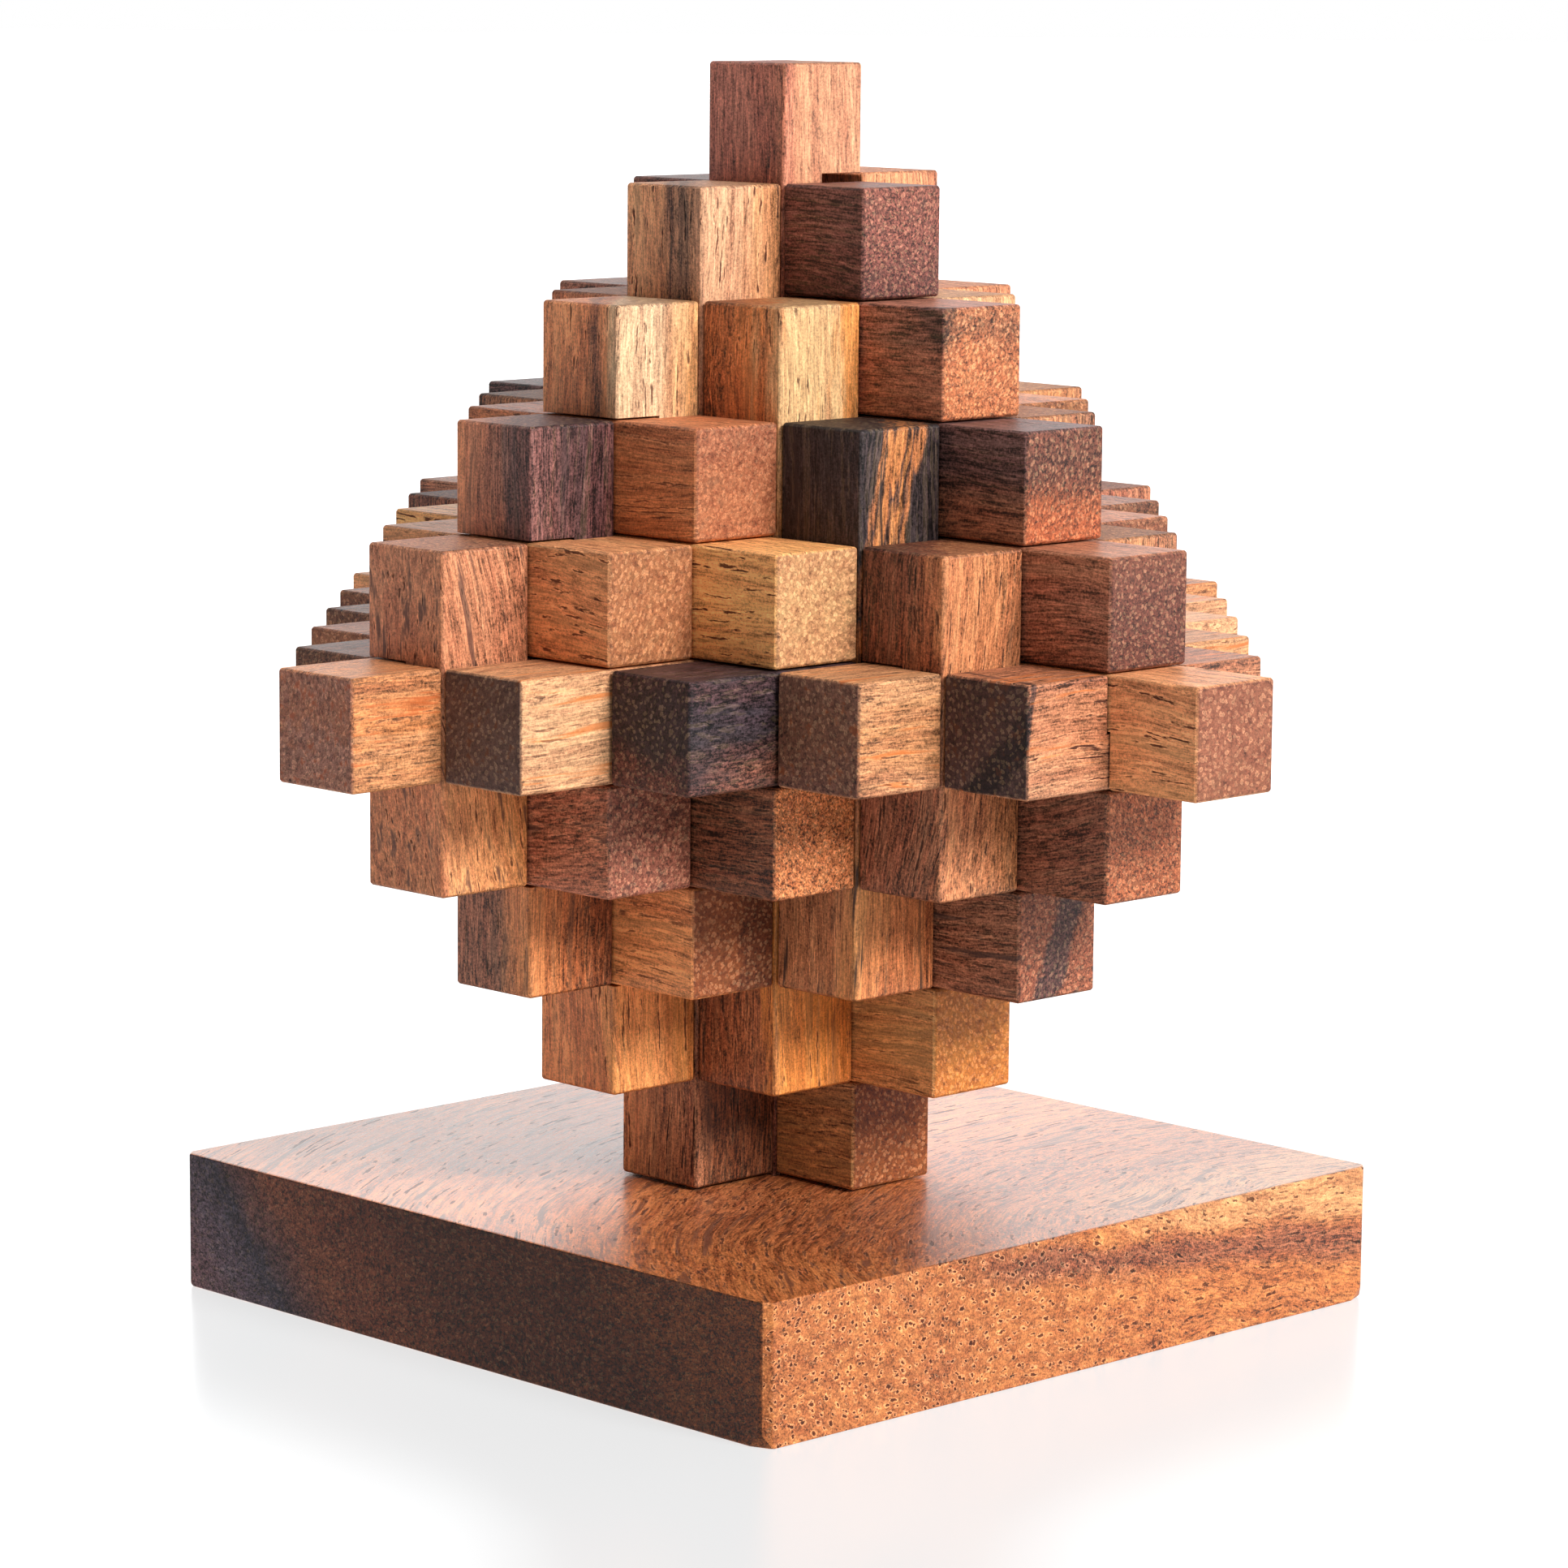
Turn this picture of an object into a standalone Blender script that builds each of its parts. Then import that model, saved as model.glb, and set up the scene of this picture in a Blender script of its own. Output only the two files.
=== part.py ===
"""A wooden burr puzzle: 51 square sticks, half-lapped into an eight-sided crystal that stands on a square base.

The sticks lie on a cubic lattice whose cells are one PITCH wide. A cell is named by how far it is to the right (+X),
to the front (-Y) and up (+Z) of the middle one. The crystal is every cell whose three distances add up to REACH or
less. Uprights run along Z, beams along X and crossbars along Y, and each stick reaches the crystal's surface at both
ends. Where two sticks share a cell, each gives up half of it, so the two lie side by side in a half lap.

The stack of beams above and through the middle is what opens the puzzle. The top one, key_beam, has one more notch
than the others, so it can rise half a pitch under the cap of the middle upright, and the beams below it follow.
"""

from collections import namedtuple

import bpy
from mathutils import Vector

# Driving dimensions, in metres
PITCH = 0.0127  # lattice spacing: half-inch stock
STICK_GAP = 0.0002  # play between neighbouring sticks
STICK_SIDE = PITCH - STICK_GAP
LAP_GAP = 0.0003  # play between the two halves of a lap
LAP_END_PLAY = 0.0001  # how far a lap runs past its cells at each end
REACH = 5  # cells from the middle of the crystal to its points
CAP_RAISE = 0.0008  # how much longer the middle upright is than its neighbours need
REAR_RAISE = 0.001  # how much longer the upright behind it is
STICK_EASE = 0.0003  # eased edges of a stick
BASE_SIDE = 0.0985
BASE_THICKNESS = 0.016
BASE_CHAMFER = 0.001  # flat cut down the four upright edges of the base
BASE_CORNER_CLIP = 0.0013  # clipped lower corners of the base
BASE_EASE = 0.00035  # eased edges of the base
REST_GAP = 0.0003  # between the base's top and the sticks that stand on it
SOCKET_PLAY = 0.0003  # each side of the tip that stands in the base
SOCKET_DEPTH = 0.013

CUTTER_MARGIN = 0.002  # how far a cutter stands out of what it cuts
MIDDLE_HEIGHT = BASE_THICKNESS + REST_GAP + (REACH - 0.5) * PITCH - STICK_GAP / 2

DIRECTIONS = {
    "right": Vector((1, 0, 0)),
    "left": Vector((-1, 0, 0)),
    "front": Vector((0, -1, 0)),
    "rear": Vector((0, 1, 0)),
    "up": Vector((0, 0, 1)),
    "down": Vector((0, 0, -1)),
}

# Base colour and roughness of each wood
WOODS = {
    "cream_wood": ((0.72, 0.48, 0.22), 0.5),
    "golden_wood": ((0.56, 0.28, 0.09), 0.5),
    "orange_wood": ((0.60, 0.23, 0.08), 0.5),
    "brown_wood": ((0.28, 0.12, 0.05), 0.5),
    "red_wood": ((0.30, 0.085, 0.04), 0.5),
    "dark_wood": ((0.07, 0.03, 0.022), 0.5),
    "base_wood": ((0.36, 0.14, 0.06), 0.42),
}

# Sticks whose wood is set apart from the brown of the rest
STICK_WOODS = {
    "cream_wood": ["upright_front_2", "crossbar_right_1", "upright_right_1_rear"],
    "golden_wood": [
        "upright_front_1", "upright_right_1_front", "beam_middle", "beam_front_2_upper_1", "beam_front_3_upper_1",
        "beam_front_2_lower_1", "beam_lower_3", "beam_rear_2_upper_2", "upright_rear_3", "upright_left_2_rear",
    ],
    "orange_wood": [
        "upright_center", "upright_front_4", "crossbar_center", "crossbar_right_3", "crossbar_right_4",
        "upright_right_3_front", "crossbar_left_2", "upright_rear_1", "beam_rear_3_lower_1", "upright_left_1_front",
        "upright_rear_2", "beam_rear_2_lower_2",
    ],
    "red_wood": [
        "beam_upper_1", "beam_upper_2", "beam_lower_1", "beam_front_3_lower_1", "beam_front_2_upper_2",
        "beam_rear_2_upper_1", "upright_left_3_front", "crossbar_left_4", "upright_rear_4",
    ],
    "dark_wood": [
        "key_beam", "crossbar_right_2", "upright_right_2_front", "beam_lower_4", "upright_front_3",
    ],
}

# A stick runs along the direction `run`, `half` cells each way from its middle cell, which is at `place`.
Stick = namedtuple("Stick", "name run place half laps extra", defaults=(0.0,))
# A lap opens `side` of a stick from cell `first` to cell `last`, counted along its run.
Lap = namedtuple("Lap", "first last side")


def signed(positive, negative, value):
    return positive if value > 0 else negative


def lattice_point(place):
    right, front, up = place
    middle = Vector((0, 0, MIDDLE_HEIGHT))
    return middle + PITCH * (right * DIRECTIONS["right"] + front * DIRECTIONS["front"] + up * DIRECTIONS["up"])


def uprights():
    """The sticks along Z: a row of nine from front to rear, and a row of three at each of its four sides."""
    inner = REACH - 1
    top = inner + CAP_RAISE / PITCH
    laps = [Lap(-inner, top, "rear"), Lap(0, 0, "left")]
    yield Stick("upright_center", "up", (0, 0, 0), REACH, laps, CAP_RAISE)
    for front in [f for f in range(-inner, inner + 1) if f]:
        facing = signed("front", "rear", front)
        distance = abs(front)
        laps = [Lap(0, 0, "left")]
        beams = inner - distance if distance > 1 else 0
        if beams:
            laps += [Lap(-beams, -1, facing), Lap(1, beams, facing)]
        extra = REAR_RAISE if front == -1 else 0.0
        yield Stick(f"upright_{facing}_{distance}", "up", (0, front, 0), REACH - distance, laps, extra)
    for right in [r for r in range(-3, 4) if r]:
        hand = signed("right", "left", right)
        inward = signed("left", "right", right)
        for front in (1, -1):
            name = f"upright_{hand}_{abs(right)}_{signed('front', 'rear', front)}"
            yield Stick(name, "up", (right, front, 0), inner - abs(right), [Lap(0, 0, inward)])


def beams():
    """The sticks along X: a stack of nine through the middle, and three above and three below at front and rear."""
    inner = REACH - 1
    laps = [Lap(-inner, inner, "down"), Lap(0, 0, "front")]
    yield Stick("beam_middle", "right", (0, 0, 0), REACH, laps)
    for up in [u for u in range(-inner, inner + 1) if u]:
        level = signed("upper", "lower", up)
        if up == inner:
            laps = [Lap(0, 0, "front"), Lap(0, 0, "up")]
            yield Stick("key_beam", "right", (0, 0, up), REACH - up, laps)
        else:
            yield Stick(f"beam_{level}_{abs(up)}", "right", (0, 0, up), REACH - abs(up), [Lap(0, 0, "front")])
    for front in (2, 3, -2, -3):
        facing = signed("front", "rear", front)
        inward = signed("rear", "front", front)
        highest = inner - abs(front)
        for up in [u for u in range(-highest, highest + 1) if u]:
            name = f"beam_{facing}_{abs(front)}_{signed('upper', 'lower', up)}_{abs(up)}"
            half = REACH - abs(front) - abs(up)
            yield Stick(name, "right", (0, front, up), half, [Lap(0, 0, inward)])


def crossbars():
    """The sticks along Y: one row of nine at the crystal's waist."""
    inner = REACH - 1
    laps = [Lap(-inner, inner, "right"), Lap(0, 0, "up")]
    yield Stick("crossbar_center", "front", (0, 0, 0), REACH, laps)
    for right in [r for r in range(-inner, inner + 1) if r]:
        hand = signed("right", "left", right)
        distance = abs(right)
        laps = [Lap(0, 0, "up")]
        if distance < inner:
            laps += [Lap(-1, -1, hand), Lap(1, 1, hand)]
        yield Stick(f"crossbar_{hand}_{distance}", "front", (right, 0, 0), REACH - distance, laps)


def make_box(name, size, centre, collection):
    """A box with its scale applied, its own origin at its centre."""
    bpy.ops.mesh.primitive_cube_add(size=1, location=centre)
    box = bpy.context.object
    box.name = box.data.name = name
    box.scale = size
    bpy.ops.object.transform_apply(location=False, rotation=False, scale=True)
    for owner in list(box.users_collection):
        owner.objects.unlink(box)
    collection.objects.link(box)
    return box


def round_edges(box, width, segments):
    bevel = box.modifiers.new("Eased edges", "BEVEL")
    bevel.width = width
    bevel.segments = segments
    bevel.limit_method = "ANGLE"


def cut(box, cutter):
    cutter.hide_render = True
    cutter.display_type = "WIRE"
    boolean = box.modifiers.new(cutter.name, "BOOLEAN")
    boolean.operation = "DIFFERENCE"
    boolean.solver = "EXACT"
    boolean.object = cutter


def span_size(run, length, across):
    """Sizes along X, Y and Z of a square bar that runs along a direction."""
    along = Vector([abs(value) for value in DIRECTIONS[run]])
    return along * length + (Vector((1, 1, 1)) - along) * across


def make_lap(stick, lap, cutters):
    run, side = DIRECTIONS[stick.run], DIRECTIONS[lap.side]
    length = (lap.last - lap.first + 1) * PITCH + 2 * LAP_END_PLAY
    across = STICK_SIDE + 2 * CUTTER_MARGIN
    centre = lattice_point(stick.place) + run * (lap.first + lap.last) / 2 * PITCH
    centre += side * (across / 2 - LAP_GAP / 2)
    name = f"lap_{stick.name}_{lap.side}_{lap.first}"
    return make_box(name, span_size(stick.run, length, across), centre, cutters)


def make_stick(stick, material, collection, cutters):
    length = (2 * stick.half + 1) * PITCH - STICK_GAP + stick.extra
    centre = lattice_point(stick.place) + DIRECTIONS[stick.run] * stick.extra / 2
    piece = make_box(stick.name, span_size(stick.run, length, STICK_SIDE), centre, collection)
    piece.data.materials.append(material)
    round_edges(piece, STICK_EASE, 1)
    for lap in stick.laps:
        cut(piece, make_lap(stick, lap, cutters))


def make_base(material, collection, cutters):
    """The board, its upright edges chamfered and its lower corners clipped, with a blind socket for the tip."""
    size = (BASE_SIDE, BASE_SIDE, BASE_THICKNESS)
    board = make_box("base", size, (0, 0, BASE_THICKNESS / 2), collection)
    board.data.materials.append(material)
    lower_corners = board.vertex_groups.new(name="lower corners")
    lower_corners.add([v.index for v in board.data.vertices if v.co.z < 0], 1.0, "REPLACE")
    clip = board.modifiers.new("Clipped corners", "BEVEL")
    clip.affect = "VERTICES"
    clip.width = BASE_CORNER_CLIP
    clip.segments = 1
    clip.limit_method = "VGROUP"
    clip.vertex_group = lower_corners.name
    upright_edges = board.data.attributes.new("bevel_weight_edge", "FLOAT", "EDGE")
    for edge, weight in zip(board.data.edges, upright_edges.data):
        start, end = (board.data.vertices[index].co for index in edge.vertices)
        weight.value = 1.0 if abs(end.z - start.z) > BASE_THICKNESS / 2 else 0.0
    chamfer = board.modifiers.new("Upright edges", "BEVEL")
    chamfer.width = BASE_CHAMFER
    chamfer.segments = 1
    chamfer.limit_method = "WEIGHT"
    round_edges(board, BASE_EASE, 2)
    socket_side = STICK_SIDE + 2 * SOCKET_PLAY
    height = SOCKET_DEPTH + CUTTER_MARGIN
    centre = (0, 0, BASE_THICKNESS - SOCKET_DEPTH + height / 2)
    cut(board, make_box("socket", (socket_side, socket_side, height), centre, cutters))


def make_material(name, colour, roughness):
    material = bpy.data.materials.new(name)
    material.use_nodes = True
    shader = material.node_tree.nodes["Principled BSDF"]
    shader.inputs["Base Color"].default_value = (*colour, 1)
    shader.inputs["Roughness"].default_value = roughness
    shader.inputs["Metallic"].default_value = 0
    material.diffuse_color = (*colour, 1)
    return material


def wood_of(name):
    for wood, sticks in STICK_WOODS.items():
        if name in sticks:
            return wood
    return "brown_wood"


def main():
    for leftover in list(bpy.data.objects):
        bpy.data.objects.remove(leftover)
    puzzle = bpy.data.collections.new("Burr puzzle")
    cutters = bpy.data.collections.new("Cutters")
    for collection in (puzzle, cutters):
        bpy.context.scene.collection.children.link(collection)
    materials = {name: make_material(name, colour, rough) for name, (colour, rough) in WOODS.items()}
    make_base(materials["base_wood"], puzzle, cutters)
    for stick in [*uprights(), *beams(), *crossbars()]:
        make_stick(stick, materials[wood_of(stick.name)], puzzle, cutters)


main()
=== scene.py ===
"""The looks of the wooden burr puzzle: node-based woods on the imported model, a studio and the camera."""

import math
import random
from collections import namedtuple

import bpy
from mathutils import Matrix, Vector


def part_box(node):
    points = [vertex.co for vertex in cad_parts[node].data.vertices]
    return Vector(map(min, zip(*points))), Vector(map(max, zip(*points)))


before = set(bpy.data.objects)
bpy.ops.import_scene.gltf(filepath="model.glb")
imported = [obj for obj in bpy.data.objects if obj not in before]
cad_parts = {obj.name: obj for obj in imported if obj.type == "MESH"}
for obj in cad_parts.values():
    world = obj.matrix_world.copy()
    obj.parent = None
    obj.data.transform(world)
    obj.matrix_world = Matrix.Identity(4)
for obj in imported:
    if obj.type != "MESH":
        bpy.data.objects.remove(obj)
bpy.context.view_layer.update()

MM = 1000.0  # millimetres in a metre
PITCH = 0.0127  # lattice spacing of the sticks
HALF_SIDE = 6.25  # mm, half of a stick's side
STICK_ROUNDING = 0.0001
BASE_ROUNDING = 0.00015
ROUNDING_SEGMENTS = 2
SHARP_ANGLE = 25  # degrees between two faces, beyond which the edge between them is rounded
MERGE_DISTANCE = 2e-6
BUMP_STRENGTH = 0.5
BUMP_HEIGHT = 0.00015
CHANCE_SEED = 51  # of the draws for the sticks whose looks aren't listed in LOOKS
SEED_REACH = 400  # mm, how far apart the sticks lie in the grain's noise

# The base's grain runs round an upright line through this place, in mm
BASE_GRAIN_CENTRE = (100.0, 35.0, 0.0)
BASE_GRAIN_RADIUS = 110.0
BASE_GRAIN_TILT = 5  # degrees
BASE_GRAIN_SEED = (31.0, 7.0, 12.0)
FAR_FROM_EDGES = 900.0  # mm, so that the base gets no worn edges from the grain group

FLOOR_RADIUS = 9.0
CAMERA_AIM = Vector((0, 0, 0.07325))  # the middle of the crystal
CAMERA_PLACE = Vector((35.344, -34.588, 6.603))  # in pitches from there
CAMERA_TURN = (44.43, -8.74, 0.5)  # yaw, pitch and roll in degrees
CAMERA_LENS = 125.4
CAMERA_SENSOR = 36.0


def srgb(red, green, blue):
    """A linear colour from the usual 0 to 255 numbers."""
    def linear(value):
        value /= 255
        return value / 12.92 if value <= 0.04045 else ((value + 0.055) / 1.055) ** 2.4
    return (linear(red), linear(green), linear(blue))


# ---------------------------------------------------------------- nodes

class Net:
    """Short names for making shader nodes in one tree."""

    def __init__(self, tree):
        self.tree = tree

    def add(self, kind, values=None, **settings):
        """A node with its settings, and its inputs from {name or number: socket or value}."""
        made = self.tree.nodes.new(kind)
        for key, value in settings.items():
            setattr(made, key, value)
        for key, value in (values or {}).items():
            self.put(made.inputs[key], value)
        return made

    def put(self, socket, value):
        if isinstance(value, bpy.types.NodeSocket):
            self.tree.links.new(value, socket)
        else:
            socket.default_value = value

    def math(self, operation, *values):
        return self.add("ShaderNodeMath", dict(enumerate(values)), operation=operation).outputs[0]

    def vector(self, operation, *values):
        made = self.add("ShaderNodeVectorMath", dict(enumerate(values)), operation=operation)
        return made.outputs["Value" if operation in ("DOT_PRODUCT", "LENGTH") else "Vector"]

    def scale(self, vector, factor):
        return self.add("ShaderNodeVectorMath", {0: vector, "Scale": factor}, operation="SCALE").outputs[0]

    def smooth(self, value, start, end, low=0.0, high=1.0):
        """Goes softly from low to high while value goes from start to end."""
        values = {"Value": value, "From Min": start, "From Max": end, "To Min": low, "To Max": high}
        return self.add("ShaderNodeMapRange", values, interpolation_type="SMOOTHSTEP").outputs["Result"]

    def linear(self, value, start, end, low=0.0, high=1.0):
        values = {"Value": value, "From Min": start, "From Max": end, "To Min": low, "To Max": high}
        return self.add("ShaderNodeMapRange", values).outputs["Result"]

    def mix(self, factor, first, second):
        made = self.add("ShaderNodeMix", data_type="RGBA", clamp_factor=True)
        for socket, value in zip((made.inputs[0], made.inputs[6], made.inputs[7]), (factor, first, second)):
            if isinstance(value, tuple) and len(value) == 3:
                value = (*value, 1)
            self.put(socket, value)
        return made.outputs[2]

    def noise(self, vector, squeeze=None, scale=1.0, detail=2.0, roughness=0.5):
        """Noise of the place as it is, or first multiplied by squeeze."""
        if squeeze is not None:
            vector = self.vector("MULTIPLY", vector, squeeze)
        values = {"Vector": vector, "Scale": scale, "Detail": detail, "Roughness": roughness}
        return self.add("ShaderNodeTexNoise", values, noise_dimensions="3D")

    def sway(self, vector, squeeze, reach, **settings):
        """A shift by noise, up to half of reach each way."""
        colour = self.noise(vector, squeeze, **settings).outputs["Color"]
        return self.vector("MULTIPLY", self.vector("SUBTRACT", colour, (0.5, 0.5, 0.5)), reach)

    def split(self, vector):
        return self.add("ShaderNodeSeparateXYZ", {0: vector}).outputs

    def join(self, x, y, z):
        return self.add("ShaderNodeCombineXYZ", {0: x, 1: y, 2: z}).outputs[0]

    def ramp(self, value, stops):
        """A colour ramp through [(place, colour), ...]."""
        made = self.add("ShaderNodeValToRGB", {0: value})
        elements = made.color_ramp.elements
        while len(elements) < len(stops):
            elements.new(0.5)
        for element, (place, colour) in zip(elements, stops):
            element.position = place
            element.color = (*colour, 1)
        return made.outputs["Color"]


def make_group(name, inputs, outputs):
    """A node group with its sockets; returns it with its Net and its input sockets."""
    group = bpy.data.node_groups.new(name, "ShaderNodeTree")
    kinds = {"v": "NodeSocketVector", "f": "NodeSocketFloat", "c": "NodeSocketColor"}
    for socket, kind in inputs:
        group.interface.new_socket(name=socket, in_out="INPUT", socket_type=kinds[kind])
    for socket, kind in outputs:
        group.interface.new_socket(name=socket, in_out="OUTPUT", socket_type=kinds[kind])
    net = Net(group)
    return group, net, net.add("NodeGroupInput").outputs


def make_grain_group():
    """Grain space of a stick. Place is in mm from the stick's middle, with its run along Z."""
    inputs = [("Place", "v"), ("Tilt", "v"), ("Seed", "v"), ("Half", "v"), ("Figure Width", "f"),
              ("Stretch", "f")]
    outputs = [("Grain", "v"), ("Figure", "f"), ("Edge", "f")]
    group, net, given = make_group("Wood grain", inputs, outputs)
    rotate = {"Vector": given["Place"], "Rotation": given["Tilt"]}
    tilted = net.add("ShaderNodeVectorRotate", rotate, rotation_type="EULER_XYZ").outputs[0]
    seeded = net.vector("ADD", tilted, given["Seed"])
    grain = net.vector("ADD", seeded, net.sway(seeded, (0.05, 0.05, 0.035), (5.0, 5.0, 0.0), detail=1))
    across = net.math("DIVIDE", 1.0, given["Figure Width"])
    along = net.math("DIVIDE", across, given["Stretch"])
    figure = net.noise(grain, net.join(across, across, along), detail=3, roughness=0.6)
    figure = net.linear(figure.outputs["Fac"], 0.25, 0.75, -1.0, 1.0)
    x, y, z = net.split(net.vector("SUBTRACT", given["Half"], net.vector("ABSOLUTE", given["Place"])))
    second = net.math("MAXIMUM", net.math("MINIMUM", x, y), net.math("MINIMUM", net.math("MAXIMUM", x, y), z))
    net.add("NodeGroupOutput", {"Grain": grain, "Figure": figure, "Edge": second})
    return group


def make_finish_group():
    """What the wood's pores, their pale rings, veins, fibres and worn edges do to a plain colour."""
    inputs = [("Color", "c"), ("Grain", "v"), ("Edge", "f"), ("End", "f"), ("End Color", "c"),
              ("Spacing", "f"), ("Vessel", "f"), ("Cell Shape", "v"), ("Pores", "f"), ("End Pores", "f"),
              ("Rings", "f"), ("End Rings", "f"), ("Veins", "f"), ("Vein Color", "c"), ("Gloss", "f")]
    outputs = [("Color", "c"), ("Roughness", "f"), ("Height", "f")]
    group, net, given = make_group("Wood finish", inputs, outputs)
    grain, end = given["Grain"], given["End"]
    along = net.split(grain)[2]

    # Vessels: cells across the grain, each with its own width, that come and go along the run
    wander = net.sway(grain, (0.2, 0.2, 0.05), (1.6, 1.6, 0.0), detail=1)
    ragged = net.sway(grain, (2.2, 2.2, 0.5), (0.7, 0.7, 0.0), roughness=0.6)
    across = net.vector("ADD", net.vector("ADD", grain, wander), ragged)
    cells = {"Vector": net.vector("MULTIPLY", across, given["Cell Shape"]),
             "Scale": net.math("DIVIDE", 1.0, given["Spacing"])}
    cells = net.add("ShaderNodeTexVoronoi", cells, voronoi_dimensions="2D", feature="F1")
    distance = net.math("MULTIPLY", cells.outputs["Distance"], given["Spacing"])
    chance = net.split(cells.outputs["Color"])
    vessel = net.join(net.math("MULTIPLY", chance[0], 90.0), net.math("MULTIPLY", chance[1], 90.0),
                      net.math("MULTIPLY", along, 0.25))
    open_length = net.noise(vessel, detail=1).outputs["Fac"]
    rare = net.linear(end, 0.0, 1.0, 0.48, 0.34)
    present = net.smooth(net.math("SUBTRACT", open_length, rare), -0.02, 0.04)
    radius = net.math("MULTIPLY", net.linear(chance[2], 0.0, 1.0, 0.05, 0.13), given["Vessel"])
    pore = net.smooth(net.math("SUBTRACT", distance, radius), 0.06, -0.03)
    pore = net.math("MULTIPLY", pore, present)
    ring = net.smooth(net.math("SUBTRACT", distance, net.math("MULTIPLY", radius, 1.6)), 0.11, 0.0)
    ring = net.math("MULTIPLY", ring, net.linear(open_length, 0.35, 0.55, 0.45, 1.0))

    fibre = net.noise(grain, (3.8, 3.8, 0.26), detail=3, roughness=0.75).outputs["Fac"]
    streak = net.noise(grain, (0.75, 0.75, 0.03), detail=3, roughness=0.65).outputs["Fac"]
    speckle = net.noise(grain, scale=3.4, detail=3, roughness=0.8).outputs["Fac"]
    mottle = net.noise(grain, (1.5, 1.5, 0.5), roughness=0.6).outputs["Fac"]
    pits = net.noise(grain, (4.2, 4.2, 0.75), roughness=0.6).outputs["Fac"]
    pits = net.smooth(pits, 0.60, 0.70)

    # Dark wood shows its fibres more than pale wood
    contrast = net.linear(net.split(given["Color"])[0], 0.08, 0.55, 1.9, 0.62)
    fine = net.linear(fibre, 0.3, 0.7, -0.84, 0.84)
    fine = net.math("MULTIPLY", fine, net.linear(end, 0.0, 1.0, 1.0, 0.55))
    fine = net.math("ADD", fine, net.linear(speckle, 0.3, 0.7, -0.74, 0.74))
    fine = net.math("ADD", fine, net.linear(mottle, 0.3, 0.7, -0.26, 0.26))
    shade = net.math("ADD", net.math("MULTIPLY", fine, contrast), net.linear(streak, 0.25, 0.75, -0.42, 0.42))
    shade = net.math("MAXIMUM", net.math("ADD", shade, 1.08), 0.12)
    colour = net.scale(given["Color"], shade)
    warm = net.linear(streak, 0.25, 0.75, 0.84, 1.14)
    colour = net.vector("MULTIPLY", colour, net.join(1.0, warm, warm))
    vein = net.math("MULTIPLY", net.smooth(streak, 0.56, 0.66), given["Veins"])
    colour = net.mix(vein, colour, given["Vein Color"])
    colour = net.mix(end, colour, net.scale(net.vector("MULTIPLY", colour, given["End Color"]), 0.88))
    pale = net.math("MULTIPLY", ring, net.linear(end, 0.0, 1.0, given["Rings"], given["End Rings"]))
    lighter = net.vector("ADD", net.scale(colour, 1.55), (0.14, 0.094, 0.05))
    colour = net.mix(pale, colour, lighter)
    dark = net.math("MULTIPLY", pits, net.linear(end, 0.0, 1.0, 0.42, 0.30))
    colour = net.mix(dark, colour, net.vector("MULTIPLY", colour, (0.35, 0.28, 0.26)))
    deep = net.math("MULTIPLY", pore, net.linear(end, 0.0, 1.0, given["Pores"], given["End Pores"]))
    colour = net.mix(deep, colour, net.vector("MULTIPLY", colour, (0.13, 0.09, 0.09)))
    chips = net.noise(grain, scale=1.6, detail=3, roughness=0.75).outputs["Fac"]
    wear = net.smooth(net.math("ADD", given["Edge"], net.linear(chips, 0.3, 0.7, -0.4, 0.4)), 0.5, 0.1)
    worn = net.scale(colour, net.linear(chips, 0.35, 0.65, 0.62, 1.15))
    colour = net.mix(net.math("MULTIPLY", wear, 0.8), colour, worn)

    roughness = net.math("ADD", net.linear(fibre, 0.25, 0.75, -0.07, 0.09), net.math("MULTIPLY", deep, 0.3))
    roughness = net.math("ADD", roughness, net.math("MULTIPLY", end, 0.10))
    roughness = net.math("ADD", roughness, given["Gloss"])
    height = net.math("MULTIPLY", net.math("ADD", fibre, net.math("MULTIPLY", speckle, 0.7)), 0.6)
    height = net.math("SUBTRACT", height, net.math("MULTIPLY", net.math("ADD", deep, dark), 0.5))
    height = net.math("ADD", height, net.math("MULTIPLY", net.math("MULTIPLY", chips, wear), 0.8))
    net.add("NodeGroupOutput", {"Color": colour, "Roughness": roughness, "Height": height})
    return group


GRAIN = make_grain_group()
FINISH = make_finish_group()

# ---------------------------------------------------------------- the woods

# stops: albedo along the figure, which goes 0.5 + lean . place / half side + strength * noise
# figure: strength, width in mm and stretch of its noise; tilt: degrees about u, v and the run
# pores and rings: how strong on a side face and on an end; end: what an end's colour is multiplied by
# spacing and shape: the distance between pores in mm and how their cells are squeezed across the run
# veins: strength and colour of the streaks; low: the stops at the other end of the run, where wood changes;
# upright_front_1's also hold painted shade
# stain: a dark band square to a direction, with centre, reach and softness in mm, its colour and its weight
Look = namedtuple("Look", "stops lean figure tilt pores rings end spacing veins shape low stain")


def look(*stops, lean=None, figure=(0.10, 4.0, 8.0), tilt=(0, 0, 0), pores=(0.75, 0.2), rings=(0.4, 0.85),
         end=(0.62, 0.6, 0.6), spacing=1.0, veins=(0.35, (74, 46, 38)), shape=(1, 1), low=None, stain=None):
    """Stops are (place, red, green, blue)."""
    return Look(split_stops(stops), lean, figure, tilt, pores, rings, end, spacing, veins, shape,
                split_stops(low), stain)


def split_stops(stops):
    return stops and [(stop[0], stop[1:]) for stop in stops]


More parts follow.
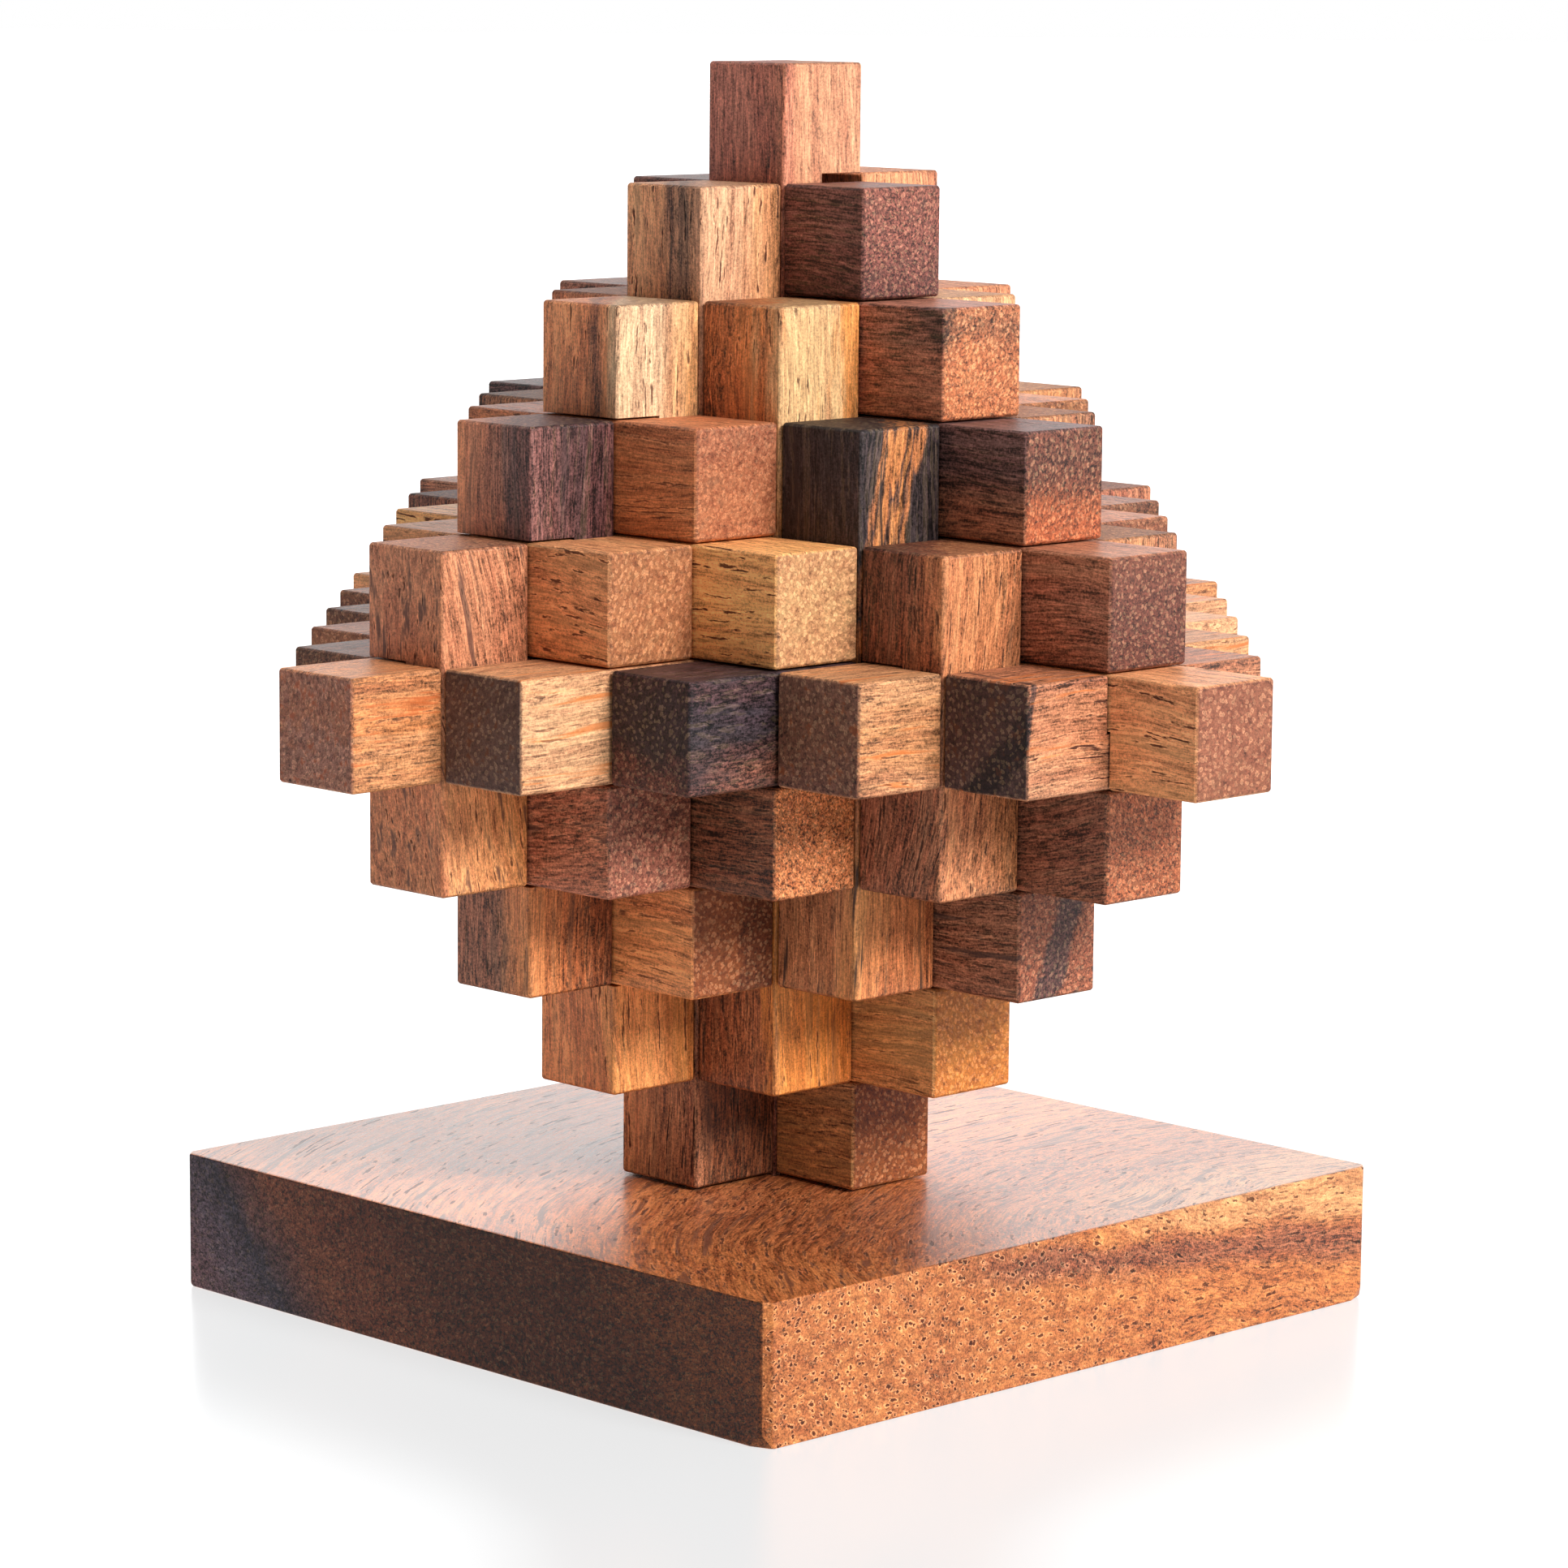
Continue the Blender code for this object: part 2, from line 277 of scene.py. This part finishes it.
LOOKS = {
    # Uprights: from the left side's far edge (0) round the front corner (0.5) to the right's far edge (1)
    "upright_center": look(
        (0, 180, 110, 92), (0.4, 172, 102, 82), (0.53, 180, 112, 84), (0.56, 190, 128, 94),
        (1, 192, 132, 98),
        figure=(0.05, 3, 10), pores=(0.25, 0.2), veins=(0.15, (130, 76, 58)),
        low=((0, 176, 108, 84), (0.5, 160, 98, 76), (0.6, 158, 98, 74), (1, 164, 106, 80))),
    "upright_front_1": look(
        (0, 226, 162, 116), (0.22, 212, 148, 104), (0.29, 112, 76, 58), (0.33, 168, 118, 88),
        (0.37, 104, 72, 56), (0.44, 176, 124, 92), (0.5, 206, 154, 118), (0.75, 208, 156, 118),
        (0.9, 200, 138, 92), (1, 150, 96, 60),
        figure=(0.05, 1.6, 14), pores=(1, 0.3), veins=(0.5, (104, 66, 50)),
        # Its low stops darken the lower part's right side: painted shade cast by the rows above
        low=((0, 224, 156, 106), (0.25, 176, 122, 84), (0.5, 150, 96, 66), (0.6, 104, 58, 34),
             (1, 92, 50, 28))),
    "upright_front_2": look(
        (0, 226, 148, 100), (0.3, 222, 138, 90), (0.37, 140, 88, 64), (0.44, 204, 126, 82),
        (0.52, 206, 168, 130), (0.75, 206, 168, 132), (1, 210, 150, 94),
        figure=(0.07, 3, 10), pores=(0.9, 0.3), veins=(0.15, (150, 96, 62)),
        low=((0, 226, 146, 94), (0.4, 204, 124, 76), (0.55, 216, 142, 80), (0.75, 218, 144, 84),
             (1, 178, 108, 52))),
    "upright_front_3": look(
        (0, 214, 138, 98), (0.2, 178, 112, 84), (0.36, 110, 74, 66), (0.5, 112, 74, 68), (0.65, 90, 58, 54),
        (0.8, 64, 42, 42), (1, 86, 50, 46),
        figure=(0.08, 2, 12), veins=(0.5, (48, 36, 38)),
        low=((0, 150, 96, 74), (0.28, 136, 88, 66), (0.42, 204, 128, 80), (0.55, 194, 120, 70),
             (0.75, 152, 86, 48), (1, 106, 58, 36))),
    "upright_front_4": look(
        (0, 198, 130, 96), (0.5, 190, 124, 88), (0.75, 174, 114, 82), (1, 154, 96, 66),
        figure=(0.10, 2, 10), tilt=(-12, 6, 0), pores=(0.9, 0.3), veins=(0.85, (86, 52, 46)),
        low=((0, 188, 118, 80), (0.48, 194, 122, 82), (0.55, 204, 138, 90), (1, 200, 130, 76))),
    "upright_right_1_front": look(
        (0, 120, 70, 46), (0.2, 168, 98, 58), (0.38, 206, 126, 72), (0.5, 206, 160, 112),
        (0.8, 208, 164, 116), (0.88, 206, 138, 80), (1, 214, 138, 70),
        figure=(0.14, 2.5, 8), pores=(0.9, 0.3), veins=(0.5, (112, 64, 42)),
        low=((0, 128, 76, 50), (0.4, 164, 100, 62), (0.5, 206, 130, 64), (0.75, 208, 126, 56),
             (1, 186, 106, 46))),
    "upright_right_2_front": look(
        (0, 44, 36, 36), (0.24, 50, 40, 40), (0.32, 50, 40, 40), (0.35, 156, 98, 60), (0.38, 46, 38, 38),
        (0.41, 188, 120, 70), (0.45, 176, 110, 64), (0.47, 48, 38, 38), (0.50, 190, 122, 70),
        (0.53, 52, 40, 38), (0.56, 172, 106, 62), (0.59, 58, 44, 40), (0.62, 50, 40, 40),
        (0.66, 46, 36, 36), (1, 44, 36, 38),
        lean=(0.25, 0.25, -0.062), figure=(0.055, 2.0, 6), veins=(0.9, (46, 36, 36)), pores=(0.5, 0.2),
        low=((0, 162, 102, 70), (0.6, 190, 122, 79), (0.75, 204, 134, 78), (1, 182, 108, 64))),
    "upright_right_3_front": look(
        (0, 90, 54, 40), (0.25, 116, 68, 50), (0.45, 146, 84, 56), (0.55, 188, 120, 78),
        (0.8, 184, 118, 76), (1, 154, 94, 60),
        figure=(0.12, 3, 6), tilt=(5, -8, 0), pores=(0.9, 0.3), rings=(0.4, 0.75),
        low=((0, 132, 80, 58), (0.45, 142, 88, 62), (0.55, 200, 130, 86), (0.72, 168, 106, 70),
             (1, 146, 92, 56))),
    # Beams and crossbars: from bottom to top
    "key_beam": look(
        (0, 82, 50, 46), (0.5, 104, 64, 56), (1, 112, 70, 60),
        end=(1.4, 1.22, 1.12), pores=(0.4, 0.2), rings=(0.45, 0.9), veins=(0.6, (58, 38, 36)), spacing=0.9),
    "beam_upper_3": look(
        (0, 164, 100, 74), (0.55, 160, 98, 74), (0.8, 122, 78, 64), (1, 154, 98, 78),
        end=(1.28, 1.15, 0.78), rings=(0.3, 1.0), pores=(0.3, 0.1), figure=(0.2, 6, 3), spacing=0.85,
        shape=(1.3, 0.7), tilt=(0, 0, 20), stain=((-2.5, 1.2, 1.0), 55, 4, 3, (74, 50, 46), 0.8)),
    "beam_front_2_upper_2": look(
        (0, 204, 128, 80), (0.6, 194, 118, 74), (1, 184, 112, 74),
        end=(0.66, 0.64, 0.74), veins=(0.5, (108, 62, 44)), spacing=0.8, rings=(0.45, 0.6)),
    "beam_upper_2": look(
        (0, 160, 100, 72), (0.35, 134, 86, 64), (0.55, 98, 66, 58), (0.7, 88, 62, 58), (1, 100, 70, 66),
        figure=(0.10, 5, 8), end=(1.2, 0.82, 0.56), rings=(0.3, 1.0), spacing=1.0, shape=(1.2, 0.8),
        tilt=(0, 0, -15)),
    "beam_front_3_upper_1": look(
        (0, 212, 142, 92), (0.5, 216, 144, 96), (1, 202, 136, 90),
        end=(0.56, 0.50, 0.48), pores=(0.95, 0.2), veins=(0.4, (120, 74, 48)), spacing=0.9,
        shape=(1.3, 0.75), tilt=(0, 0, 30)),
    "beam_front_2_upper_1": look(
        (0, 234, 168, 104), (0.5, 240, 176, 108), (1, 234, 166, 102),
        end=(0.60, 0.62, 0.78), pores=(1.0, 0.2), veins=(0.3, (130, 92, 56)), spacing=0.95),
    "beam_upper_1": look(
        (0, 142, 90, 68), (0.6, 150, 96, 74), (1, 174, 114, 84),
        end=(0.45, 0.38, 0.42), pores=(0.4, 0.2), rings=(0.3, 1.0), veins=(0.5, (84, 50, 40)), spacing=0.95),
    "beam_middle": look(
        (0, 216, 146, 96), (0.5, 226, 154, 104), (1, 220, 150, 102),
        end=(0.36, 0.28, 0.34), pores=(1.0, 0.35), rings=(0.45, 1.0), veins=(0.4, (130, 84, 52)),
        spacing=1.0),
    "beam_front_3_lower_1": look(
        (0, 172, 104, 76), (0.5, 154, 92, 66), (1, 150, 88, 64),
        end=(0.72, 0.70, 0.80), tilt=(8, 8, 0), rings=(0.45, 1.0), veins=(0.8, (86, 50, 42)), spacing=0.85),
    "beam_front_2_lower_1": look(
        (0, 108, 62, 42), (0.5, 106, 60, 40), (1, 114, 66, 44),
        end=(3.0, 3.0, 2.1), rings=(0.3, 0.8), spacing=0.9),
    "beam_lower_1": look(
        (0, 130, 80, 58), (0.5, 118, 72, 54), (1, 124, 78, 58),
        end=(1.5, 1.2, 0.88), rings=(0.3, 0.8), tilt=(8, 4, 0)),
    "beam_front_2_lower_2": look(
        (0, 228, 148, 90), (0.5, 214, 136, 82), (1, 208, 130, 80),
        # Its end is darker than end grain alone: partly end grain, partly painted shade on that end
        end=(0.33, 0.24, 0.22), rings=(0.45, 0.95), spacing=0.85,
        stain=((1, 0, 0), 5, 3.6, 1.5, (120, 72, 52), 0.6)),
    "beam_lower_2": look(
        (0, 152, 98, 72), (0.5, 142, 92, 68), (1, 142, 94, 70),
        end=(0.88, 0.66, 0.60), figure=(0.2, 4, 8), veins=(0.8, (52, 38, 40)),
        stain=((1, -0.35, 0), 0.5, 1.3, 1.4, (52, 50, 58), 0.75)),
    "beam_lower_3": look(
        (0, 212, 148, 90), (0.5, 200, 142, 86), (1, 196, 136, 84),
        end=(0.78, 0.54, 0.27), rings=(0.45, 0.8), spacing=0.85),
    "beam_lower_4": look(
        (0, 190, 136, 84), (0.5, 178, 124, 76), (1, 164, 112, 72),
        end=(0.45, 0.25, 0.16), rings=(0.45, 1.0), spacing=0.95),
    "crossbar_center": look(
        (0, 176, 117, 75), (0.35, 180, 123, 82), (0.6, 180, 112, 66), (1, 176, 116, 75),
        figure=(0.3, 1.5, 14), end=(0.80, 0.80, 1.3), pores=(0.7, 0.3), veins=(0.8, (190, 92, 44))),
    "crossbar_right_1": look(
        (0, 188, 136, 98), (0.5, 198, 150, 110), (1, 190, 136, 96),
        figure=(0.3, 1.5, 14), end=(0.20, 0.20, 0.30), pores=(0.7, 0.3), veins=(0.8, (210, 118, 58))),
    "crossbar_right_2": look(
        (0, 104, 64, 50), (0.22, 72, 46, 42), (0.45, 48, 38, 40), (0.8, 51, 38, 42), (1, 62, 42, 42),
        figure=(0.26, 5, 3), end=(1.0, 0.82, 0.80), tilt=(12, 0, 0), veins=(0.3, (34, 32, 38)),
        low=((0, 206, 146, 104), (1, 214, 156, 112))),
    "crossbar_right_3": look(
        (0, 172, 117, 82), (0.5, 178, 121, 79), (1, 184, 131, 91),
        figure=(0.25, 1.6, 12), end=(0.42, 0.39, 0.54), pores=(0.8, 0.3), veins=(0.9, (206, 112, 54))),
    "crossbar_right_4": look(
        (0, 184, 128, 93), (0.5, 174, 113, 80), (1, 158, 102, 73),
        figure=(0.12, 2, 12), end=(0.15, 0.17, 0.30), pores=(1, 0.3), veins=(0.8, (206, 112, 56)),
        stain=((1, -1, -6), 108.5, 1.5, 2, (40, 30, 34), 0.8)),
}

# For the sticks on the far side, by the first word of their slot's name
PALETTES = {
    "cream": [(0.0, (214, 160, 116)), (0.5, (222, 170, 124)), (1.0, (206, 146, 102))],
    "golden": [(0.0, (186, 126, 80)), (0.4, (204, 146, 96)), (0.75, (194, 130, 82)), (1.0, (166, 106, 70))],
    "orange": [(0.0, (176, 106, 72)), (0.35, (208, 134, 92)), (0.7, (218, 146, 102)), (1.0, (184, 116, 82))],
    "brown": [(0.0, (122, 78, 56)), (0.35, (166, 110, 76)), (0.7, (182, 122, 82)), (1.0, (134, 86, 64))],
    "red": [(0.0, (112, 66, 50)), (0.4, (160, 94, 66)), (0.7, (138, 80, 60)), (1.0, (174, 112, 80))],
    "dark": [(0.0, (66, 48, 46)), (0.4, (96, 64, 56)), (0.7, (76, 56, 54)), (1.0, (124, 80, 66))],
}

RUNS = {"upright": "Z", "beam": "X", "key": "X", "crossbar": "Y"}
# How the figure goes in (u, v, run): round an upright's front corner, or up a beam or crossbar
LEANS = {"Z": (0.25, 0.25, 0.0), "X": (0.0, 0.5, 0.0), "Y": (0.5, 0.0, 0.0)}
# The rows take object axes to (u, v, run)
TO_GRAIN = {
    "Z": Matrix(((1, 0, 0), (0, 1, 0), (0, 0, 1))),
    "X": Matrix(((0, 1, 0), (0, 0, 1), (1, 0, 0))),
    "Y": Matrix(((0, 0, 1), (1, 0, 0), (0, 1, 0))),
}


def chance_look(palette, rng):
    """A look for a stick on the far side, from its palette."""
    stops = [(place, *shade) for place, shade in palette]
    return look(*stops, figure=(rng.uniform(0.1, 0.25), rng.uniform(1.5, 5), rng.uniform(5, 12)),
                tilt=(rng.uniform(-9, 9), rng.uniform(-9, 9), rng.uniform(0, 180)),
                veins=(rng.uniform(0.1, 0.8), palette[0][1]),
                rings=(0.45, rng.uniform(0.7, 1.0)), spacing=rng.uniform(0.85, 1.15), shape=(1.2, 0.8))


def new_material(name):
    material = bpy.data.materials.new(name)
    material.use_nodes = True
    shader = next(n for n in material.node_tree.nodes if n.type == "BSDF_PRINCIPLED")
    return material, Net(material.node_tree), shader


def connect_finish(net, shader, finish, specular):
    bump = {"Strength": BUMP_STRENGTH, "Distance": BUMP_HEIGHT, "Height": finish.outputs["Height"]}
    bump = net.add("ShaderNodeBump", bump)
    net.put(shader.inputs["Base Color"], finish.outputs["Color"])
    net.put(shader.inputs["Roughness"], finish.outputs["Roughness"])
    net.put(shader.inputs["Normal"], bump.outputs["Normal"])
    shader.inputs["Specular IOR Level"].default_value = specular


def make_stick_wood(node, look, rng):
    """The wood of one stick, laid out from its middle along its own run."""
    name = node.name
    material, net, shader = new_material("wood_" + name)
    run = RUNS[name.split("_")[0]]
    low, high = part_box(name)
    turn = TO_GRAIN[run]
    middle = turn @ ((low + high) / 2) * MM
    half = turn @ ((high - low) / 2) * MM
    coords = net.add("ShaderNodeTexCoord").outputs
    mapping = {"Vector": coords["Object"], "Location": tuple(-middle), "Rotation": tuple(turn.to_euler()),
               "Scale": (MM, MM, MM)}
    place = net.add("ShaderNodeMapping", mapping, vector_type="POINT").outputs[0]
    seed = Vector([rng.uniform(-SEED_REACH, SEED_REACH) for _ in range(3)])
    strength, width, stretch = look.figure
    grain = net.add("ShaderNodeGroup", node_tree=GRAIN)
    tilt = [math.radians(angle) for angle in look.tilt]
    for key, value in {"Place": place, "Tilt": tilt, "Seed": seed, "Half": half, "Figure Width": width,
                       "Stretch": stretch}.items():
        net.put(grain.inputs[key], value)
    lean = look.lean or LEANS[run]
    lean = tuple(value / HALF_SIDE for value in lean)
    value = net.math("ADD", net.vector("DOT_PRODUCT", place, lean), 0.5)
    value = net.math("MULTIPLY_ADD", grain.outputs["Figure"], strength, value)
    colour = net.ramp(value, [(stop, srgb(*shade)) for stop, shade in look.stops])
    if look.low:
        low_colour = net.ramp(value, [(stop, srgb(*shade)) for stop, shade in look.low])
        ends = (-2.0, 16.0) if run == "Y" else (9.0, -9.0)
        colour = net.mix(net.smooth(net.split(place)[2], *ends), colour, low_colour)
    if look.stain:
        direction, centre, reach, soft, shade, weight = look.stain
        distance = net.math("SUBTRACT", net.vector("DOT_PRODUCT", place, direction), centre)
        distance = net.math("MULTIPLY_ADD", grain.outputs["Figure"], 1.2, distance)
        stained = net.smooth(net.math("ABSOLUTE", distance), reach + soft, reach)
        colour = net.mix(net.math("MULTIPLY", stained, weight), colour, srgb(*shade))
    along = {"X": (1, 0, 0), "Y": (0, 1, 0), "Z": (0, 0, 1)}[run]
    end = net.smooth(net.math("ABSOLUTE", net.vector("DOT_PRODUCT", coords["Normal"], along)), 0.5, 0.9)
    finish = net.add("ShaderNodeGroup", node_tree=FINISH)
    vein_strength, vein_shade = look.veins
    for key, value in {
        "Color": colour, "Grain": grain.outputs["Grain"], "Edge": grain.outputs["Edge"], "End": end,
        "End Color": (*look.end, 1), "Spacing": 0.78 * look.spacing, "Pores": look.pores[0],
        "End Pores": look.pores[1], "Rings": look.rings[0], "End Rings": look.rings[1],
        "Veins": vein_strength, "Vein Color": (*srgb(*vein_shade), 1), "Cell Shape": (*look.shape, 1),
        "Vessel": 0.75 + 0.35 * look.pores[0], "Gloss": 0.46,
    }.items():
        net.put(finish.inputs[key], value)
    connect_finish(net, shader, finish, specular=0.3)
    return material


def make_base_wood():
    """The base's wood. Its grain runs round a far centre, so the right side's front part is end grain."""
    material, net, shader = new_material("wood_base")
    coords = net.add("ShaderNodeTexCoord").outputs
    place = net.scale(coords["Object"], MM)
    x, y, z = net.split(place)
    _, ny, nz = net.split(coords["Normal"])
    outward = net.vector("SUBTRACT", net.join(x, y, 0.0), BASE_GRAIN_CENTRE)
    distance = net.vector("LENGTH", outward)
    ox, oy, _ = net.split(net.scale(outward, -1.0))
    arc = net.math("MULTIPLY", net.math("ARCTAN2", oy, ox), BASE_GRAIN_RADIUS)
    grain = net.add("ShaderNodeGroup", node_tree=GRAIN)
    for key, value in {
        "Place": net.join(distance, z, arc), "Tilt": (math.radians(BASE_GRAIN_TILT), 0.0, 0.0),
        "Seed": BASE_GRAIN_SEED, "Half": (FAR_FROM_EDGES,) * 3, "Figure Width": 7.0, "Stretch": 7.0,
    }.items():
        net.put(grain.inputs[key], value)
    figure = grain.outputs["Figure"]
    colour = net.ramp(net.math("MULTIPLY_ADD", figure, 0.30, 0.5),
                      [(0.0, srgb(136, 74, 44)), (0.35, srgb(164, 94, 52)), (0.7, srgb(182, 108, 58)),
                       (1.0, srgb(192, 124, 72))])
    # A dark band that sinks towards the right side's far end, under a paler strip
    depth = net.math("ADD", z, net.math("MULTIPLY", y, 0.11))
    depth = net.math("ADD", depth, net.math("MULTIPLY", figure, 1.4))
    right = net.smooth(x, 30.0, 44.0)
    far = net.smooth(y, -26.0, -8.0)
    band = net.smooth(net.math("ABSOLUTE", net.math("SUBTRACT", depth, 12.3)), 2.9, 0.5)
    band = net.math("MULTIPLY", band, far)
    colour = net.mix(net.math("MULTIPLY", net.math("MULTIPLY", band, right), 0.8), colour, srgb(118, 66, 48))
    strip = net.math("MULTIPLY", net.smooth(depth, 13.6, 16.0), net.smooth(y, 0.0, 20.0))
    strip = net.math("MULTIPLY", strip, right)
    colour = net.mix(net.math("MULTIPLY", strip, 0.8), colour, srgb(198, 140, 92))
    # The front side: dark, redder to the left, with a blue-black stain across its left corner
    front = net.smooth(ny, -0.75, -0.95)
    slant = net.math("ADD", net.math("MULTIPLY", z, 0.9), net.math("MULTIPLY", figure, 2.5))
    slant = net.math("ADD", x, slant)
    dark_front = net.ramp(net.linear(slant, -50.0, 60.0), [
        (0.0, (0.20, 0.27, 0.92)), (0.05, (0.15, 0.25, 0.90)), (0.11, (0.105, 0.21, 0.86)),
        (0.18, (0.042, 0.10, 0.46)), (0.27, (0.165, 0.15, 0.24)), (0.37, (0.125, 0.10, 0.15)),
        (0.5, (0.068, 0.056, 0.084)), (0.75, (0.068, 0.052, 0.062)), (1.0, (0.136, 0.112, 0.10))])
    colour = net.mix(front, colour, net.scale(net.vector("MULTIPLY", colour, dark_front), 2.5))
    # The top: paler to the left as a painted pool of light and painted pale sheen, browner in front of the
    # puzzle as painted shade
    top = net.smooth(nz, 0.5, 0.9)
    colour = net.mix(net.math("MULTIPLY", top, net.smooth(x, 26.0, -2.0)), colour,
                     net.vector("MULTIPLY", colour, (1.5, 1.62, 1.8)))
    # Painted shade: darker in front of the puzzle, standing in for the puzzle's dark reflection in the top
    from_middle = net.vector("LENGTH", net.vector("SUBTRACT", net.join(x, y, 0.0), (30.0, -16.0, 0.0)))
    brown = net.math("MULTIPLY", net.smooth(from_middle, 26.0, 6.0), 0.8)
    colour = net.mix(net.math("MULTIPLY", top, brown), colour,
                     net.vector("MULTIPLY", colour, (0.64, 0.60, 0.76)))
    lines = net.noise(grain.outputs["Grain"], (1.0, 1.0, 0.035), detail=3, roughness=0.6).outputs["Fac"]
    lines = net.math("MULTIPLY", net.smooth(lines, 0.50, 0.60), net.math("MULTIPLY", top, 0.75))
    colour = net.mix(lines, colour, net.vector("MULTIPLY", colour, (0.50, 0.41, 0.42)))
    across = net.math("DIVIDE", oy, distance)
    along = net.join(across, net.math("DIVIDE", net.math("MULTIPLY", ox, -1.0), distance), 0.0)
    end = net.math("ABSOLUTE", net.vector("DOT_PRODUCT", coords["Normal"], along))
    end = net.smooth(end, 0.30, 0.75)
    finish = net.add("ShaderNodeGroup", node_tree=FINISH)
    for key, value in {
        "Color": colour, "Grain": grain.outputs["Grain"], "Edge": 5.0, "End": end,
        "End Color": (1.0, 1.03, 1.07, 1), "Spacing": net.linear(front, 0.0, 1.0, 1.02, 0.75),
        "Vessel": net.linear(front, 0.0, 1.0, 1.55, 0.7), "Cell Shape": (1.0, 1.0, 1.0), "Pores": 0.9,
        "End Pores": net.linear(front, 0.0, 1.0, 1.0, 0.5), "Rings": 0.25,
        "End Rings": net.linear(front, 0.0, 1.0, 1.0, 0.6), "Veins": net.math("MULTIPLY", top, 0.9),
        "Vein Color": (*srgb(104, 60, 44), 1), "Gloss": 0.40,
    }.items():
        net.put(finish.inputs[key], value)
    connect_finish(net, shader, finish, specular=0.25)
    net.put(shader.inputs["Coat Weight"], net.math("MULTIPLY", top, 0.8))
    shader.inputs["Coat Roughness"].default_value = 0.3
    return material


def make_clean_group(name, steps):
    """A geometry-nodes tool: joins split corners before the bevel, or shades smooth after it."""
    group = bpy.data.node_groups.new(name, "GeometryNodeTree")
    for way in ("INPUT", "OUTPUT"):
        group.interface.new_socket(name="Geometry", in_out=way, socket_type="NodeSocketGeometry")
    first, last = group.nodes.new("NodeGroupInput"), group.nodes.new("NodeGroupOutput")
    socket = first.outputs[0]
    for kind in steps:
        step = group.nodes.new(kind)
        if kind == "GeometryNodeMergeByDistance":
            step.inputs["Distance"].default_value = MERGE_DISTANCE
        group.links.new(socket, step.inputs[0])
        socket = step.outputs[0]
    group.links.new(socket, last.inputs[0])
    return group


JOIN = make_clean_group("Join corners", ["GeometryNodeMergeByDistance"])
SMOOTH = make_clean_group("Shade smooth", ["GeometryNodeSetShadeSmooth"])


def soften(node, width):
    """Rounds a node's arrises with modifiers, so its own mesh stays as it is."""
    node.modifiers.new("Join", "NODES").node_group = JOIN
    flat = node.modifiers.new("Flat faces", "DECIMATE")
    flat.decimate_type = "DISSOLVE"
    flat.angle_limit = math.radians(1)
    bevel = node.modifiers.new("Rounded", "BEVEL")
    bevel.width = width
    bevel.segments = ROUNDING_SEGMENTS
    bevel.limit_method = "ANGLE"
    bevel.angle_limit = math.radians(SHARP_ANGLE)
    node.modifiers.new("Smooth", "NODES").node_group = SMOOTH
    weighted = node.modifiers.new("Normals", "WEIGHTED_NORMAL")
    weighted.keep_sharp = False


rng = random.Random(CHANCE_SEED)
for name, node in sorted(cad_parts.items()):
    if name == "base":
        wood = make_base_wood()
        soften(node, BASE_ROUNDING)
    else:
        palette = node.data.materials[0].name.split("_wood")[0]
        wood = make_stick_wood(node, LOOKS.get(name) or chance_look(PALETTES[palette], rng), rng)
        soften(node, STICK_ROUNDING)
    node.data.materials[0] = wood

# ---------------------------------------------------------------- studio

def make_floor():
    bpy.ops.mesh.primitive_circle_add(vertices=96, radius=FLOOR_RADIUS, fill_type="NGON", location=(0, 0, 0))
    floor = bpy.context.object
    floor.name = floor.data.name = "floor"
    material, _, shader = new_material("floor_white")
    shader.inputs["Base Color"].default_value = (0.112, 0.12, 0.124, 1)
    shader.inputs["Roughness"].default_value = 0.25
    shader.inputs["Specular IOR Level"].default_value = 0.35
    shader.inputs["Emission Color"].default_value = (1, 1, 1, 1)
    shader.inputs["Emission Strength"].default_value = 0.72
    floor.data.materials.append(material)


def make_sky():
    """Bright behind the object and to its right, dim in front of it; plain white to the camera."""
    world = bpy.data.worlds.new("studio")
    bpy.context.scene.world = world
    world.use_nodes = True
    world.node_tree.nodes.clear()
    net = Net(world.node_tree)
    direction = net.add("ShaderNodeTexCoord").outputs["Generated"]
    x, y, z = net.split(direction)
    left = net.math("MULTIPLY", net.smooth(x, -0.1, -0.6), net.smooth(y, -0.35, 0.05))
    behind = net.math("MULTIPLY", net.math("MAXIMUM", net.smooth(y, -0.1, 0.65), left),
                      net.smooth(z, 0.8, 0.1))
    level = net.math("MULTIPLY_ADD", behind, 2.0, 0.15)
    seen = net.add("ShaderNodeLightPath").outputs["Is Camera Ray"]
    strength = net.math("ADD", net.math("MULTIPLY", level, net.math("SUBTRACT", 1.0, seen)), seen)
    background = net.add("ShaderNodeBackground", {"Color": (1, 1, 1, 1), "Strength": strength})
    net.add("ShaderNodeOutputWorld", {"Surface": background.outputs[0]})


def make_sun(name, towards, strength, softness):
    light = bpy.data.lights.new(name, "SUN")
    light.energy = strength
    light.angle = math.radians(softness)
    lamp = bpy.data.objects.new(name, light)
    lamp.rotation_mode = "QUATERNION"
    lamp.rotation_quaternion = Vector(towards).to_track_quat("Z", "Y")
    bpy.context.scene.collection.objects.link(lamp)


def make_camera():
    place = CAMERA_AIM + PITCH * CAMERA_PLACE
    yaw, pitch, roll = (math.radians(angle) for angle in CAMERA_TURN)
    forward = Vector((-math.cos(pitch) * math.cos(yaw), math.cos(pitch) * math.sin(yaw), math.sin(pitch)))
    right = forward.cross(Vector((0, 0, 1))).normalized()
    up = right.cross(forward)
    right, up = (math.cos(roll) * right + math.sin(roll) * up, math.cos(roll) * up - math.sin(roll) * right)
    data = bpy.data.cameras.new("camera")
    data.sensor_width = CAMERA_SENSOR
    data.lens = CAMERA_LENS
    data.clip_start, data.clip_end = 0.01, 50
    camera = bpy.data.objects.new("camera", data)
    camera.matrix_world = Matrix.Translation(place) @ Matrix((right, up, -forward)).transposed().to_4x4()
    bpy.context.scene.collection.objects.link(camera)
    bpy.context.scene.camera = camera


make_floor()
make_sky()
make_sun("key", (1.0, 0.10, 0.68), 4.2, 22)
make_sun("top", (-0.55, 0.2, 1.0), 0.7, 40)
make_camera()
bpy.context.scene.view_settings.view_transform = "Standard"
